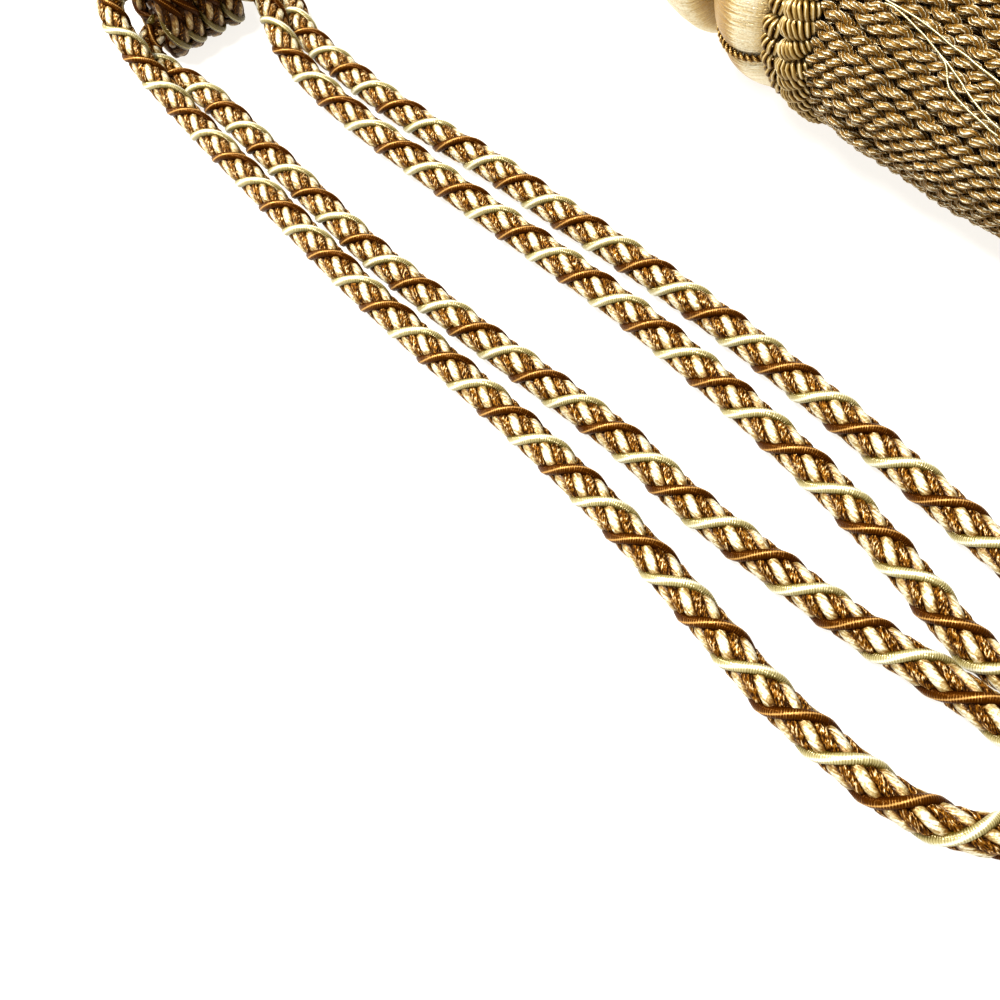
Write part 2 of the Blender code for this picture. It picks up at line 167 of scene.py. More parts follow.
R = ROPE_REST
FRONT_ARM_ROUTE = [
    (-0.1710, KNOT_FRONT - GAP, 0.0300), (-0.1700, -0.1165, 0.0300), (-0.1630, -0.1210, 0.0255),
    (-0.1510, -0.1220, 0.0192), (-0.1380, -0.1226, 0.0138), (-0.1240, -0.1218, 0.0092),
    (-0.1080, -0.1214, 0.0060), (-0.0800, -0.1213, R), (-0.0500, -0.1214, R), (-0.0200, -0.1212, R),
    (0.0050, -0.1210, R), (0.0250, -0.1200, R), (0.0500, -0.1186, R), (0.0700, -0.1172, R),
    (0.0950, -0.1159, R), (0.1200, -0.1154, R), (0.1450, -0.1160, R), (0.1760, -0.1181, R),
    (0.1990, -0.1196, R), (0.2200, -0.1181, R), (0.2330, -0.1162, R), (0.2430, -0.1126, R),
    (0.2510, -0.1075, R), (0.2562, -0.1010, R), (0.2578, -0.0945, R), (0.2560, -0.0885, R),
    (0.2505, -0.0840, R), (0.2420, -0.0825, R), (0.2330, -0.0833, R), (0.2200, -0.0855, R),
    (0.1990, -0.0901, R), (0.1760, -0.0932, R), (0.1430, -0.0967, R), (0.1150, -0.0969, R),
    (0.0800, -0.1007, R), (0.0400, -0.1055, R), (0.0000, -0.1089, R), (-0.0300, -0.1093, R),
    (-0.0700, -0.1093, R), (-0.1080, -0.1094, R), (-0.1250, -0.1105, R), (-0.1380, -0.1132, R),
    (-0.1500, -0.1147, 0.0062), (-0.1590, -0.1149, 0.0100), (-0.1620, KNOT_FRONT - GAP, 0.0130),
]
BACK_ARM_ROUTE = [
    (-0.1600, KNOT_BACK + GAP, 0.0200), (-0.1590, -0.0650, 0.0190), (-0.1520, -0.0634, 0.0160),
    (-0.1400, -0.0658, 0.0130), (-0.1250, -0.0709, 0.0115), (-0.1100, -0.0743, 0.0080),
    (-0.0890, -0.0750, 0.0058), (-0.0580, -0.0747, R), (-0.0330, -0.0729, R), (0.0000, -0.0701, R),
    (0.0300, -0.0672, R), (0.0700, -0.0639, R), (0.0980, -0.0628, R), (0.1430, -0.0635, R),
    (0.1760, -0.0660, R), (0.1990, -0.0697, R), (0.2200, -0.0733, R), (0.2330, -0.0721, R),
    (0.2450, -0.0705, R), (0.2560, -0.0669, R), (0.2630, -0.0611, R), (0.2650, -0.0549, R),
    (0.2615, -0.0489, R), (0.2540, -0.0455, R), (0.2430, -0.0447, R), (0.2300, -0.0457, R),
    (0.2110, -0.0473, R), (0.1990, -0.0471, R), (0.1760, -0.0459, R), (0.1430, -0.0451, R),
    (0.0980, -0.0460, R), (0.0690, -0.0479, R), (0.0280, -0.0518, R), (-0.0070, -0.0546, R),
    (-0.0350, -0.0585, R), (-0.0700, -0.0616, R), (-0.0940, -0.0623, R), (-0.1100, -0.0623, R),
    (-0.1250, -0.0608, R), (-0.1320, -0.0584, R), (-0.1450, -0.0558, R), (-0.1570, -0.0583, 0.0062),
    (-0.1655, -0.0640, 0.0080), (-0.1690, KNOT_BACK + GAP, 0.0090),
]
HANGER_ROUTE = [
    (-0.1720, KNOT_BACK + GAP, 0.0320), (-0.1730, -0.0640, 0.0315), (-0.1720, -0.0510, 0.0250),
    (-0.1690, -0.0340, 0.0140), (-0.1620, -0.0140, 0.0070), (-0.1480, 0.0090, R),
    (-0.1250, 0.0340, 0.0062), (-0.0950, 0.0530, 0.0140), (-0.0680, 0.0610, 0.0310),
    (-0.0500, TASSEL_Y, 0.0420), (HEAD_START - GAP, TASSEL_Y, TASSEL_Z),
]

# Places along each rope, in millimetres, where its cream gimp lies on top: two laps apart.
FRONT_ARM_LAPS = (29, 58, 92, 129, 162, 195, 227, 257, 286, 315, 347, 377, 408, 439, 471, 503, 532,
                  562, 591, 621, 650, 679, 709, 738, 772, 805, 838, 870, 902)
BACK_ARM_LAPS = (10, 44, 78, 118, 153, 186, 216, 246, 276, 306, 339, 370, 401, 434, 468, 502, 534,
                 564, 593, 623, 653, 683, 713, 745, 779, 810, 842, 874, 906)
HANGER_LAPS = tuple(range(5, 280, 30))
LAPS_BEND = 490               # an arm's places short of this and past it have a shift each
LAPS_SHIFT_OUT = -1.7
LAPS_SHIFT_BACK = 2.3

# Loose threads on the skirt, as places in the camera's frame, across and down. Those past its right
# edge are guessed.
STRAY_THREADS = (
    ((886, 0), (894, 4.5), (903.2, 9.5), (913.9, 15.8), (928, 25.7), (940.5, 35.7), (952.9, 46.4),
     (965.4, 55.1), (977.8, 65.5), (988.6, 73.8), (1000, 82.9), (1012, 92), (1026, 101),
     (1040, 108)),
    ((884.9, 3.3), (892.4, 6.2), (901.5, 12.9), (909, 19.9), (916.4, 27.4), (923.1, 34),
     (929.7, 41.5), (936.3, 49.8), (942.1, 56.4), (949.6, 65.5), (955.4, 73.8), (961.2, 82.1),
     (966.2, 90.4), (972, 98.7), (978.6, 107), (986, 116), (993, 123), (1000, 129)),
    ((940, 55), (942.1, 58), (945.9, 63.8), (947.1, 71.3), (947.5, 79.6), (949.6, 87.9),
     (954.6, 95.4), (961.2, 102.8), (968.7, 110.3), (977, 117.7), (984.4, 124.4), (990.2, 130),
     (998, 136)),
)

# Camera: its place, and the directions that are right, down and forward in its frame.
CAMERA_PLACE = (0.2472, -0.20083, 0.26473)
CAMERA_RIGHT = (0.60571, 0.78402, -0.13576)
CAMERA_DOWN = (0.64273, -0.58268, -0.49737)
CAMERA_FORWARD = (-0.46906, 0.21400, -0.85685)
CAMERA_LENS = 37.56
CAMERA_SENSOR = 36.0
FRAME = 1000                  # width and height of the camera's frame

# Painted shade: the knot's finishes are darker copies of the rope's.
KNOT_SHADE = 0.33
BULLION_THREADS = 6           # threads round a ply
BULLION_LEAN = 1.30
# Painted shade that darkens the finish of the bullion inside the skirt.
DEEP_BULLION_SHADE = 0.04

CREAM_STRAND, GOLD_STRAND, CREAM_GIMP, BRONZE_GIMP, SHADE_CORE = range(5)


# ---------------------------------------------------------------- finishes

class Wire:
    """One socket of a shader; arithmetic on it adds Math nodes."""

    def __init__(self, shader, socket):
        self.shader = shader
        self.socket = socket

    def math(self, operation, *values):
        return self.shader.node("ShaderNodeMath", {"operation": operation}, dict(enumerate(values)))

    def __add__(self, other):
        return self.math("ADD", self, other)

    def __sub__(self, other):
        return self.math("SUBTRACT", self, other)

    def __mul__(self, other):
        return self.math("MULTIPLY", self, other)

    def __truediv__(self, other):
        return self.math("DIVIDE", self, other)

    def __pow__(self, other):
        return self.math("POWER", self, other)

    def wave(self):
        """Sine between 0 and 1, one cycle for each unit."""
        return self.math("SINE", self * TAU) * 0.5 + 0.5


class Shader:
    """Node tree of one finish."""

    def __init__(self, name):
        self.material = bpy.data.materials.new(name)
        self.material.use_nodes = True
        self.tree = self.material.node_tree
        self.surface = self.tree.nodes["Principled BSDF"]

    def node(self, kind, settings, values, output=0):
        made = self.tree.nodes.new(kind)
        for name, setting in settings.items():
            if name == "stops":
                ramp = made.color_ramp
                while len(ramp.elements) < len(setting):
                    ramp.elements.new(1.0)
                for element, (place, tint) in zip(ramp.elements, setting):
                    element.position = place
                    element.color = (*tint, 1.0)
            else:
                setattr(made, name, setting)
        for name, value in values.items():
            self.feed(made.inputs[name], value)
        return Wire(self, made.outputs[output])

    def feed(self, socket, value):
        if isinstance(value, Wire):
            self.tree.links.new(value.socket, socket)
        else:
            socket.default_value = value

    def parts(self, vector):
        """The three numbers of a vector."""
        split = self.tree.nodes.new("ShaderNodeSeparateXYZ")
        self.feed(split.inputs[0], vector)
        return [Wire(self, split.outputs[k]) for k in range(3)]

    def thread_place(self):
        """Place round a thread, in turns, and along it, in millimetres."""
        return self.parts(self.node("ShaderNodeUVMap", {"uv_map": "Thread"}, {}))[:2]

    def fold_shade(self, turn):
        """Painted shade: 1 deepest in the folds between threads, where shade falls, 0 on their outer
        side.
        """
        return (turn - 0.25).wave() ** 1.5

    def gimp_shadow(self):
        """Painted shadow: 1 where a gimp lies on a strand, 0 midway between two gimps."""
        return self.node("ShaderNodeAttribute", {"attribute_name": "Shade"}, {}, "Fac")

    def ridge(self, turn, power):
        """Painted highlight: 1 on the outermost line of a thread, falling off faster with a higher
        power.
        """
        return (turn + 0.25).wave() ** power

    def step(self, value, start, end):
        """Smooth rise from 0 at start to 1 at end."""
        return self.node("ShaderNodeMapRange", {"interpolation_type": "SMOOTHSTEP"},
                         {"Value": value, "From Min": start, "From Max": end})

    def object_place(self):
        return self.node("ShaderNodeTexCoord", {}, {}, "Object")

    def noise(self, x, y, detail):
        """Noise over a plane, x and y already scaled."""
        vector = self.node("ShaderNodeCombineXYZ", {}, {0: x, 1: y, 2: 0.0})
        return self.node("ShaderNodeTexNoise", {},
                         {"Vector": vector, "Scale": 1.0, "Detail": detail})

    def blend(self, share, first, second):
        return self.node("ShaderNodeMix", {"data_type": "RGBA"},
                         {0: share, 6: (*first, 1.0), 7: (*second, 1.0)}, 2)

    def ramp(self, share, stops):
        return self.node("ShaderNodeValToRGB", {"stops": stops}, {0: share})

    def bump(self, height, distance):
        return self.node("ShaderNodeBump", {},
                         {"Height": height, "Distance": distance, "Strength": 1.0})

    def finish(self, **values):
        """Set the surface's sockets, whose names are written with underscores."""
        for name, value in values.items():
            self.feed(self.surface.inputs[name.replace("_", " ")], value)
        return self.material


def cream_strand_finish(name, shade):
    """Smooth cream rayon strand, its fibres laid at a slant, with painted shade in its folds and
    beside the gimps.
    """
    shader = Shader(name)
    turn, along = shader.thread_place()
    streak = shader.noise(turn * 14 + along * 0.9, along * 0.28, 3.0)
    fleck = shader.noise(turn * 9, along * 1.6, 2.0)
    fold_shade = shader.fold_shade(turn)
    # Painted shade: darker in the folds, beside the gimps, and all over by shade in the knot.
    share = streak + fleck * 0.55 - 0.14 - shade - fold_shade * 2.9 - shader.gimp_shadow() * 0.55
    return shader.finish(
        Base_Color=shader.ramp(share, [(0.0, (0.040, 0.012, 0.0003)), (0.25, (0.19, 0.090, 0.012)),
                                       (0.45, (0.40, 0.300, 0.125)), (0.64, (0.77, 0.72, 0.55))]),
        Roughness=0.30, Specular_IOR_Level=0.8, Metallic=0.2, Specular_Tint=(1.0, 0.92, 0.76, 1.0),
        Normal=shader.bump(streak + fleck * 0.5, 0.00045))


def gold_strand_finish(name, shade):
    """Crimped bronze-gold strand that glitters: its pale crimp flecks are partly its own tone,
    partly painted glints.
    """
    shader = Shader(name)
    turn, along = shader.thread_place()
    crimp = shader.noise(turn * 2.5 + along * 0.7, along * 0.9 - turn * 14, 2.0)
    ply = (turn * 2 + along / 5.0 + crimp * 0.8).wave()
    fold_shade = shader.fold_shade(turn)
    # Painted shade: darker in the folds, beside the gimps, and all over by shade in the knot.
    share = crimp * 2.4 + ply * 0.12 - 0.82 - shade - fold_shade * 1.30 - shader.gimp_shadow() * 0.36
    return shader.finish(
        Base_Color=shader.ramp(share, [(0.12, (0.024, 0.006, 0.0002)),
                                       (0.36, (0.145, 0.052, 0.002)),
                                       (0.54, (0.30, 0.138, 0.014)), (0.72, (0.84, 0.64, 0.36))]),
        Roughness=0.36, Metallic=0.5, Specular_IOR_Level=0.4, Specular_Tint=(1.0, 0.72, 0.40, 1.0),
        Normal=shader.bump(crimp * 1.5 + ply * 0.2, 0.0008))


def gimp_finish(name, dark, middle, light, tint, shade=0.0, line=0.5, power=50.0, gloss=0.8,
                metal=0.25):
    """Gimp: a smooth cord closely wound with fine thread, a painted highlight on its outer line,
    painted shade in its folds.
    """
    shader = Shader(name)
    turn, along = shader.thread_place()
    winding = shader.noise(turn * 1.2, along * 3.0, 1.0)
    fine = (along / 0.62 + turn).wave()
    fold_shade = shader.fold_shade(turn)
    # Painted highlight along the outer line, weighted by line; painted shade in the folds and, by
    # shade, in the knot.
    return shader.finish(
        Base_Color=shader.ramp(
            winding * 0.5 + fine * 0.2 + shader.ridge(turn, power) * line + 0.08 - shade
            - fold_shade * 1.9,
            [(0.05, dark), (0.45, middle), (0.85, light)]),
        Roughness=0.24, Metallic=metal, Specular_IOR_Level=gloss, Specular_Tint=(*tint, 1.0),
        Normal=shader.bump(winding + fine * 0.4, 0.00018))


def shade_core_finish(name, dark, light):
    """Dark threads deep in a rope, which hardly any light reaches; their dark colour is painted
    shade.
    """
    shader = Shader(name)
    turn, along = shader.thread_place()
    streak = shader.noise(turn * 6, along * 0.6, 2.0)
    return shader.finish(
        Base_Color=shader.blend(streak, dark, light),
        Roughness=0.6, Specular_IOR_Level=0.2)


def rope_finishes(prefix, shade):
    """The five finishes of a rope; shade darkens all but the dark core's, as painted shade."""
    return [
        cream_strand_finish(prefix + "cream_strand", shade * 0.8),
        gold_strand_finish(prefix + "gold_strand", shade),
        gimp_finish(prefix + "cream_gimp", (0.10, 0.068, 0.008), (0.42, 0.36, 0.16),
                    (0.88, 0.86, 0.68), (1.0, 0.97, 0.82), shade * 1.6),
        gimp_finish(prefix + "bronze_gimp", (0.034, 0.009, 0.0001), (0.066, 0.020, 0.0002),
                    (0.56, 0.32, 0.105), (1.0, 0.66, 0.28), shade, line=0.42, power=130.0,
                    gloss=0.10, metal=0.2),
        shade_core_finish(prefix + "shade_core", (0.020, 0.006, 0.0003), (0.065, 0.024, 0.002)),
    ]


def satin_finish():
    """Cream satin: fine threads laid along the head, each catching light its own way; painted light
    and shade bands.
    """
    shader = Shader("cream_satin")
    x, y, z = shader.parts(shader.object_place())
    angle = z.math("ARCTAN2", z - TASSEL_Z, y - TASSEL_Y)
    thread = shader.noise(angle * 48, x * 110, 2.0)
    fine = shader.noise(angle * 80, x * 1300, 1.0)
    shade = shader.noise(angle * 5, x * 60, 1.0)
    # Painted light and shade in bands: the dome before about x 0.0095 and the bell past about 0.036
    # are painted lit, the shoulder between them is painted in shade, and past about 0.0455 the bell
    # is painted a little less lit; the threads' noise makes the edges jagged.
    place = x + (thread - 0.5) * 0.009
    lit = shader.step(place, 0.0335, 0.0385) + 1 - shader.step(place, 0.0075, 0.0115)
    lit = lit - shader.step(place, 0.0435, 0.0475) * 0.4
    share = thread * 0.6 + fine * 0.4 + shade * 0.2 + lit * 0.52 - 0.54
    return shader.finish(
        Base_Color=shader.ramp(share, [(0.08, (0.36, 0.220, 0.070)), (0.42, (0.58, 0.435, 0.200)),
                                       (0.70, (0.85, 0.80, 0.61))]),
        Roughness=0.28, Specular_IOR_Level=0.8, Metallic=0.3, Specular_Tint=(1.0, 0.88, 0.66, 1.0),
        Normal=shader.bump(thread * 1.3 + fine * 0.6, 0.00060))


def ruff_finish():
    """Thick dull gold thread of the ruff, with a painted highlight on its outer side and painted
    shade in its folds.
    """
    shader = Shader("ruff_thread")
    turn, along = shader.thread_place()
    streak = shader.noise(turn * 5, along * 0.14, 2.0)
    tone = shader.noise(turn * 1.5, along * 0.06, 2.0)
    # Painted highlight on the outer line, painted shade in the folds.
    share = (streak * 0.5 + tone * 0.9 + shader.ridge(turn, 12.0) * 0.40 - 0.42
             - shader.fold_shade(turn) * 0.8)
    return shader.finish(
        Base_Color=shader.ramp(share, [(0.05, (0.105, 0.046, 0.002)), (0.40, (0.25, 0.152, 0.032)),
                                       (0.62, (0.42, 0.310, 0.125)), (0.86, (0.85, 0.75, 0.53))]),
        Roughness=0.30, Specular_IOR_Level=0.8, Metallic=0.25, Specular_Tint=(1.0, 0.88, 0.66, 1.0),
        Normal=shader.bump(streak, 0.00030))


def bullion_finish(name, threads_round, lean, shade):
    """Dull gold rayon threads seen one by one; lean in millimetres for each thread."""
    shader = Shader(name)
    turn, along = shader.thread_place()
    breaks = shader.noise(turn * 6, along * 0.55, 3.0)
    threads = (along / lean - turn * threads_round + breaks * 1.4).wave() ** 2.0
    tone = shader.noise(turn * 2, along * 0.16, 1.0)
    # Thread strokes: the single threads, painted lit on top with painted shade between them; a
    # painted highlight runs along each ply's outer line; shade darkens it all as painted shade.
    share = (threads * 0.72 + breaks * 0.60 + tone * 0.8 + shader.ridge(turn, 7.0) * 0.36
             - 0.72 - shade)
    return shader.finish(
        Base_Color=shader.ramp(share, [(0.05, (0.185, 0.088, 0.008)), (0.36, (0.25, 0.148, 0.036)),
                                       (0.60, (0.38, 0.274, 0.125)), (0.82, (0.84, 0.76, 0.57))]),
        Roughness=0.34, Specular_IOR_Level=0.45, Metallic=0.25, Specular_Tint=(1.0, 0.86, 0.62, 1.0),
        Normal=shader.bump(threads + breaks * 0.6, 0.00060))


# ---------------------------------------------------------------- threads

class Skein:
    """Tubes of thread gathered into one mesh.

    The UV map Thread holds turns round a tube and millimetres along it. The attribute Shade, a
    painted shadow, is 1 where a gimp covers a core strand, 0 midway between two gimps and 0 on all
    else.
    """

    def __init__(self, seed=1):
        self.points = []
        self.faces = []
        self.places = []
        self.finishes = []
        self.shades = []
        self.chance = random.Random(seed)

    def tube(self, centres, outs, section, finish=0, scales=None, rough=0.0, closed=False,
             shades=None):
        """Sweep a section, given by its reach outward and across, along the centres."""
        sides = len(section)
        count = len(centres)
        first = len(self.points)
        along = 0.0
        lengths = [0.0]
        for i, centre in enumerate(centres):
            before = centres[i - 1] if i or closed else centre
            after = centres[(i + 1) % count] if i < count - 1 or closed else centre
            tangent = (after - before).normalized()
            out = outs[i] - tangent * outs[i].dot(tangent)
            out.normalize()
            across = tangent.cross(out)
            scale = scales[i] if scales else 1.0
            self.shades += [shades[i] if shades else 0.0] * sides
            for reach, side in section:
                size = scale * (1.0 + rough * (self.chance.random() - 0.5) if rough else 1.0)
                self.points.append(centre + out * (reach * size) + across * (side * size))
            if i:
                along += (centre - centres[i - 1]).length * 1000
                lengths.append(along)
        if closed:
            lengths.append(along + (centres[0] - centres[-1]).length * 1000)
        for i in range(count if closed else count - 1):
            low = first + i * sides
            high = first + (i + 1) % count * sides
            for j in range(sides):
                k = (j + 1) % sides
                self.faces.append((low + j, low + k, high + k, high + j))
                u0, u1 = j / sides, (j + 1) / sides
                v0, v1 = lengths[i], lengths[i + 1]
                self.places += (u0, v0, u1, v0, u1, v1, u0, v1)
                self.finishes.append(finish)
        if not closed:
            for ring, length, turned in ((0, 0.0, True), (count - 1, lengths[-1], False)):
                face = [first + ring * sides + j for j in range(sides)]
                self.faces.append(tuple(reversed(face)) if turned else tuple(face))
                self.places += (0.5, length) * sides
                self.finishes.append(finish)

    def piece(self, name, materials):
        mesh = bpy.data.meshes.new(name)
        mesh.from_pydata(self.points, [], self.faces)
        layer = mesh.uv_layers.new(name="Thread")
        layer.data.foreach_set("uv", self.places)
        shade = mesh.attributes.new("Shade", "FLOAT", "POINT")
        shade.data.foreach_set("value", self.shades)
        mesh.polygons.foreach_set("material_index", self.finishes)
        mesh.shade_smooth()
        for material in materials:
            mesh.materials.append(material)
        made = bpy.data.objects.new(name, mesh)
        bpy.context.scene.collection.objects.link(made)
        return made


def radial(angle):
    """Direction away from the tassel's axis; 0 is towards the ropes."""
    return Vector((0.0, -math.cos(angle), math.sin(angle)))


def running_lengths(points):
    """Length from the first point to each one."""
    lengths = [0.0]
    for a, b in zip(points, points[1:]):
        lengths.append(lengths[-1] + (b - a).length)
    return lengths


def round_section(radius, sides, width=None):
    return [(radius * math.cos(TAU * k / sides), (width or radius) * math.sin(TAU * k / sides))
            for k in range(sides)]


def smooth_route(points, step):
    """Read a centripetal curve through the points at an even spacing close to step."""
    pts = [Vector(p) for p in points]
    pts = [2 * pts[0] - pts[1]] + pts + [2 * pts[-1] - pts[-2]]
    dense = []
    for p0, p1, p2, p3 in zip(pts, pts[1:], pts[2:], pts[3:]):
        t0 = 0.0
        t1 = t0 + (p1 - p0).length ** 0.5
        t2 = t1 + (p2 - p1).length ** 0.5
        t3 = t2 + (p3 - p2).length ** 0.5
        for k in range(16):
            t = t1 + (t2 - t1) * k / 16
            a1 = p0.lerp(p1, (t - t0) / (t1 - t0))
            a2 = p1.lerp(p2, (t - t1) / (t2 - t1))
            a3 = p2.lerp(p3, (t - t2) / (t3 - t2))
            b1 = a1.lerp(a2, (t - t0) / (t2 - t0))
            b2 = a2.lerp(a3, (t - t1) / (t3 - t1))
            dense.append(b1.lerp(b2, (t - t1) / (t2 - t1)))
    dense.append(pts[-2])
    lengths = running_lengths(dense)
    count = max(2, round(lengths[-1] / step))
    even = []
    k = 0
    for i in range(count + 1):
        s = lengths[-1] * i / count
        while k < len(lengths) - 2 and lengths[k + 1] < s:
            k += 1
        part = (s - lengths[k]) / max(lengths[k + 1] - lengths[k], 1e-9)
        even.append(dense[k].lerp(dense[k + 1], min(part, 1.0)))
    return even


def route_spine(points, laps):
    """Laps so far, point and two side directions, the first one upward, along the points."""
    count = len(points)
    spine = []
    length = 0.0
    for i, point in enumerate(points):
        tangent = (points[min(i + 1, count - 1)] - points[max(i - 1, 0)]).normalized()
        up = Vector((0.0, 0.0, 1.0))
        up = (up - tangent * up.dot(tangent)).normalized()
        if i:
            length += (point - points[i - 1]).length
        spine.append((laps_so_far(length * 1000, laps), point, up, tangent.cross(up)))
    return spine


def laps_so_far(length, places):
    """Laps up to a length, read between the places where the cream gimp lies on top."""
    k = 0
    while k < len(places) - 2 and places[k + 1] < length:
        k += 1
    return 2 * (k + (length - places[k]) / (places[k + 1] - places[k]))


def shifted(places):
    """An arm's places with the shifts of its run out from the knot and its run back."""
    return tuple(place + (LAPS_SHIFT_OUT if place < LAPS_BEND else LAPS_SHIFT_BACK)
                 for place in places)


def lay_rope(skein, spine, squeeze=1.0):
    """Right-handed core strands under two left-handed gimps, round a dark middle whose colour is
    painted shade.
    """
    for k in range(CORE_STRANDS):
        cream = k % 2 == 0
        centres, outs, scales, shades = [], [], [], []
        for laps, point, side, across in spine:
            turn = CORE_START + CORE_DRIFT * laps + TAU * (k + 2 * laps) / CORE_STRANDS
            under = math.cos(turn + math.pi * laps)
            pressed = under ** PINCH_POWER
            out = side * math.cos(turn) + across * (math.sin(turn) * squeeze)
            centres.append(point + out * (CORE_REACH - PINCH * pressed))
            outs.append(out)
            scales.append(1.0 - PINCH_SLIMMING * pressed)
            # painted shadow on the strand beside a gimp
            shades.append(abs(under) ** SHADE_POWER)
        reach, width = CREAM_SECTION if cream else GOLD_SECTION
        skein.tube(centres, outs, round_section(reach, CORE_SIDES, width),
                   CREAM_STRAND if cream else GOLD_STRAND, scales,
                   rough=CREAM_ROUGHNESS if cream else GOLD_ROUGHNESS, shades=shades)
    for k in range(2):
        centres, outs = [], []
        for laps, point, side, across in spine:
            turn = math.pi * (k - laps)
            out = side * math.cos(turn) + across * (math.sin(turn) * squeeze)
            centres.append(point + out * GIMP_REACH)
            outs.append(out)
        skein.tube(centres, outs, round_section(GIMP_RADIUS, GIMP_SIDES),
                   CREAM_GIMP if k == 0 else BRONZE_GIMP)
    # The dark middle, painted shade seen between the strands.
    middle = spine[::DEEP_EVERY] + [spine[-1]] * ((len(spine) - 1) % DEEP_EVERY > 0)
    skein.tube([point for _, point, _, _ in middle], [side for _, _, side, _ in middle],
               round_section(DEEP_RADIUS, DEEP_SIDES, DEEP_RADIUS * squeeze), SHADE_CORE)


def rope_piece(name, route, laps, seed):
    """A rope that lies on the route, in place of the solid of that name."""
    points = smooth_route(route, SPINE_STEP)
    skein = Skein(seed)
    lay_rope(skein, route_spine(points, laps))
    piece = skein.piece(name + "_plies", ROPE_FINISHES)
    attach(piece, "root")
    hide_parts(name)
    length = sum((b - a).length for a, b in zip(points, points[1:]))


# ---------------------------------------------------------------- knot

def knot_spine():
    """Left-handed turns round the knot's axis, with flat first and last half turns and both
    ends tucked in."""
    spine = []
    steps = round(KNOT_TURNS * TAU * KNOT_REACH / KNOT_STEP)
    first = KNOT_FRONT + KNOT_PITCH / 2
    last = KNOT_BACK - KNOT_PITCH / 2
    points, outs = [], []
    for i in range(steps + 1):
        turn = KNOT_TURNS * i / steps
        climb = min(max((turn - 0.5) / (KNOT_TURNS - 1), 0.0), 1.0)
        tuck = max(0.0, 1.0 - min(turn, KNOT_TURNS - turn) / KNOT_TUCK_TURNS)
        angle = KNOT_START - TAU * turn
        out = Vector((math.cos(angle), 0.0, math.sin(angle)))
        middle = Vector((KNOT_X, first + (last - first) * climb, KNOT_AXIS_Z))
        point = middle + out * (KNOT_REACH - KNOT_TUCK * tuck ** 2)
        point.z = max(point.z, ROPE_REST)
        points.append(point)
        outs.append(out)
    length = 0.0
    for i, point in enumerate(points):
        if i:
            length += (point - points[i - 1]).length
        tangent = (points[min(i + 1, steps)] - points[max(i - 1, 0)]).normalized()
        out = (outs[i] - tangent * outs[i].dot(tangent)).normalized()
        spine.append((length / LAP, point, out, tangent.cross(out)))
    return spine


def knot_pieces():
    """Wound turns of the barrel knot, and the gathered ropes inside them."""
    turns = Skein(4)
    lay_rope(turns, knot_spine(), squeeze=KNOT_SQUEEZE)
    wound = turns.piece("knot_turns", SHADED_KNOT_FINISHES)
    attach(wound, "root")
    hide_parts("barrel_knot")
    inside = Skein(5)
    for start, end in GATHERED_ENDS:
        points = [Vector(start).lerp(Vector(end), k / GATHERED_STEPS)
                  for k in range(GATHERED_STEPS + 1)]
        lay_rope(inside, route_spine(points, (0, 30, 60)))
    gathered = inside.piece("gathered_ropes", SHADED_KNOT_FINISHES)
    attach(gathered, "root")


# ---------------------------------------------------------------- tassel head

def deselect_all():
    bpy.ops.object.select_all(action="DESELECT")


def spin_profile(name, profile, steps, material):
    """Turn a piece round the tassel's axis from a profile of (x, radius), drawn by extruding."""
    deselect_all()
    x, radius = profile[0]
    bpy.ops.mesh.primitive_plane_add(size=0.001, location=(x, TASSEL_Y, TASSEL_Z + radius))
    turned = bpy.context.active_object
    turned.name = name
    bpy.ops.object.mode_set(mode="EDIT")
    bpy.ops.mesh.select_all(action="SELECT")
    bpy.ops.mesh.merge(type="CENTER")
    for (x0, r0), (x1, r1) in zip(profile, profile[1:]):
        bpy.ops.mesh.extrude_region_move(
            TRANSFORM_OT_translate={"value": (x1 - x0, 0.0, r1 - r0)})
    bpy.ops.mesh.select_all(action="SELECT")
    bpy.ops.mesh.spin(steps=steps, angle=TAU, center=(0.0, TASSEL_Y, TASSEL_Z),
                      axis=(1.0, 0.0, 0.0))
    bpy.ops.mesh.select_all(action="SELECT")
    bpy.ops.mesh.remove_doubles(threshold=0.00001)
    bpy.ops.mesh.normals_make_consistent(inside=False)
    bpy.ops.object.mode_set(mode="OBJECT")
    bpy.ops.object.transform_apply(location=True, rotation=True, scale=True)
    bpy.ops.object.shade_smooth()
    turned.data.materials.append(material)
    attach(turned, "root")
    return turned


def dome_radius(x):
    if x < DOME_WIDEST:
        reach = DOME_WIDEST - HEAD_START + 0.0015
        return DOME_RADIUS * math.sqrt(1 - ((DOME_WIDEST - x) / reach) ** 2)
    reach = (DOME_END - DOME_WIDEST) / 0.6
    return DOME_RADIUS * math.sqrt(1 - ((x - DOME_WIDEST) / reach) ** 2)


def bell_radius(x):
    share = (x - BELL_START) / (BELL_END - BELL_START)
    return BELL_RADIUS * math.sin(math.pi * (0.15 + 0.57 * share)) ** 0.5


def make_dome(satin):
    profile = [(HEAD_START + 0.004, 0.0040), (HEAD_START, 0.0060)]
    for k in range(13):
        x = DOME_WIDEST - (DOME_WIDEST - HEAD_START) * math.cos(math.pi / 2 * k / 12)
        profile.append((x, dome_radius(x)))
    for k in range(1, 8):
        x = DOME_WIDEST + (DOME_END - DOME_WIDEST) * k / 7
        profile.append((x, dome_radius(x)))
    profile += [(DOME_END + 0.0004, 0.0290), (DOME_END + 0.0008, NECK_RADIUS),
                (BELL_START - GAP, NECK_RADIUS), (BELL_START - GAP, 0.0100)]
    dome = spin_profile("satin_dome", profile, HEAD_STEPS, satin)
    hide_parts("head_dome")


